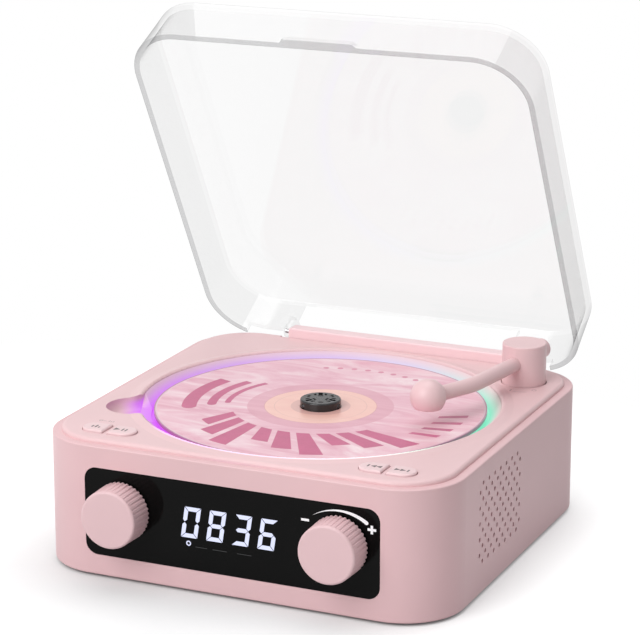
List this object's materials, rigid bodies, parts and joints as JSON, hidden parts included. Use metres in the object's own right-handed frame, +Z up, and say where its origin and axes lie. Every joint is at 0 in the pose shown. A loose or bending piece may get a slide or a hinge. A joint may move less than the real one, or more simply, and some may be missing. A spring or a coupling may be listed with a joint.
{
  "type": "desktop disc player",
  "caption": "Desktop disc player with an open disc bay, hinged clear cover, swinging tonearm, turning front knobs, deck buttons and side speakers.",
  "frame": {"origin": "centre of the body's footprint on the table, under the feet", "axes": "+X to the user's right, +Y to the back, +Z up; the front window faces -Y"},
  "size_m": [0.154, 0.1753, 0.188],
  "materials": {
    "housing_pink": "fine satin moulded pink",
    "deck_pink": "fine satin moulded pink",
    "button_pink": "satin pink caps",
    "knob_pink": "satin pink, fluted",
    "arm_pink": "satin pink",
    "hinge_pink": "satin pink",
    "clear_cover": "polished clear acrylic",
    "window_black": "polished black",
    "digit_white": "lit white light pipes",
    "frosted_ring": "frosted, lit from below",
    "dark_plastic": "fine matt black",
    "white_plastic": "matt white",
    "port_dark": "fine matt dark grey",
    "rubber_black": "matt",
    "steel": "plated",
    "screw_steel": "zinc plated",
    "socket_metal": "nickel plated",
    "board_green": "solder mask",
    "component_black": "moulded",
    "disc_print": "printed and lacquered",
    "gear_white": "moulded acetal",
    "lens_clear": "polished lens",
    "cone_paper": "pressed paper cone",
    "basket_steel": "satin black",
    "cable_white": "flat cable"
  },
  "bodies": {
    "body": {"main_housing": "housing_pink", "top_deck": "deck_pink", "bottom_cover": "port_dark", "rubber_feet": "rubber_black", "base_screws": "screw_steel", "deck_screws": "screw_steel", "display_window": "window_black", "display_digits": "digit_white", "digit_block": "white_plastic", "display_board": "board_green", "left_encoder": "component_black", "right_encoder": "component_black", "key_boards": "board_green", "key_switches": "component_black", "light_ring": "frosted_ring", "led_ring_board": "white_plastic", "hinge_bar": "hinge_pink", "mech_chassis": "steel", "mech_dampers": "rubber_black", "mech_screws": "screw_steel", "guide_rods": "steel", "spindle_motor": "steel", "feed_motor": "steel", "main_board": "board_green", "board_parts": "component_black", "board_screws": "screw_steel", "flat_cable": "cable_white", "port_panel": "port_dark", "usb_socket": "socket_metal", "aux_jack": "component_black", "power_inlet": "socket_metal", "left_speaker": "basket_steel", "right_speaker": "basket_steel", "speaker_cones": "cone_paper", "speaker_screws": "screw_steel", "arm_switch": "component_black"},
    "cover": {"dust_cover": "clear_cover", "hinge_pins": "steel"},
    "tonearm": {"tonearm_post": "arm_pink", "tonearm_tube": "arm_pink", "tonearm_head": "arm_pink", "tonearm_weight": "arm_pink", "tonearm_shaft": "steel"},
    "left_knob": {"left_knob": "knob_pink", "left_knob_shaft": "dark_plastic"},
    "right_knob": {"right_knob": "knob_pink", "right_knob_shaft": "dark_plastic"},
    "mode_button": {"mode_button": "button_pink"},
    "play_button": {"play_button": "button_pink"},
    "previous_button": {"previous_button": "button_pink"},
    "next_button": {"next_button": "button_pink"},
    "disc": {"motor_shaft": "steel", "spindle_hub": "dark_plastic", "hub_balls": "steel", "disc_pad": "rubber_black", "compact_disc": "disc_print"},
    "sled": {"optical_sled": "dark_plastic", "sled_lens": "lens_clear"},
    "feed_gear": {"feed_gear": "gear_white"},
    "feed_pinion": {"feed_pinion": "gear_white"}
  },
  "joints": [
    {"name": "cover_hinge", "type": "hinge", "parent": "body", "child": "cover", "pos_m": [0, 0.0733, 0.051], "axis": [1, 0, 0], "range_deg": [0, 60.5]},
    {"name": "tonearm_swing", "type": "hinge", "parent": "body", "child": "tonearm", "pos_m": [0.0594, 0.0519, 0.058], "axis": [0, 0, 1], "range_deg": [0, 22]},
    {"name": "left_knob_turn", "type": "hinge", "parent": "body", "child": "left_knob", "pos_m": [-0.0407, -0.08, 0.0262], "axis": [0, -1, 0], "continuous": true},
    {"name": "right_knob_turn", "type": "hinge", "parent": "body", "child": "right_knob", "pos_m": [0.0407, -0.08, 0.0262], "axis": [0, -1, 0], "continuous": true},
    {"name": "mode_press", "type": "slide", "parent": "body", "child": "mode_button", "axis": [0, 0, -1], "range_m": [0, 0.0008], "stiffness_N_per_m": 600, "springref_m": -0.0005},
    {"name": "play_press", "type": "slide", "parent": "body", "child": "play_button", "axis": [0, 0, -1], "range_m": [0, 0.0008], "stiffness_N_per_m": 600, "springref_m": -0.0005},
    {"name": "previous_press", "type": "slide", "parent": "body", "child": "previous_button", "axis": [0, 0, -1], "range_m": [0, 0.0008], "stiffness_N_per_m": 600, "springref_m": -0.0005},
    {"name": "next_press", "type": "slide", "parent": "body", "child": "next_button", "axis": [0, 0, -1], "range_m": [0, 0.0008], "stiffness_N_per_m": 600, "springref_m": -0.0005},
    {"name": "disc_spin", "type": "hinge", "parent": "body", "child": "disc", "pos_m": [0.0008, -0.0009, 0.0465], "axis": [0, 0, 1], "continuous": true},
    {"name": "sled_slide", "type": "slide", "parent": "body", "child": "sled", "axis": [0, 1, 0], "range_m": [0, 0.033]},
    {"name": "feed_gear_spin", "type": "hinge", "parent": "body", "child": "feed_gear", "pos_m": [-0.0227, 0.0271, 0.0415], "axis": [0, 0, 1], "range_deg": [-5, 636]},
    {"name": "feed_pinion_spin", "type": "hinge", "parent": "body", "child": "feed_pinion", "pos_m": [-0.0227, 0.0156, 0.0415], "axis": [0, 0, 1], "range_deg": [-2290, 18]}
  ],
  "couplings": [
    {"joint": "feed_gear_spin", "follows": "sled_slide", "rad_per_m": 333.33},
    {"joint": "feed_pinion_spin", "follows": "sled_slide", "rad_per_m": -1200}
  ]
}
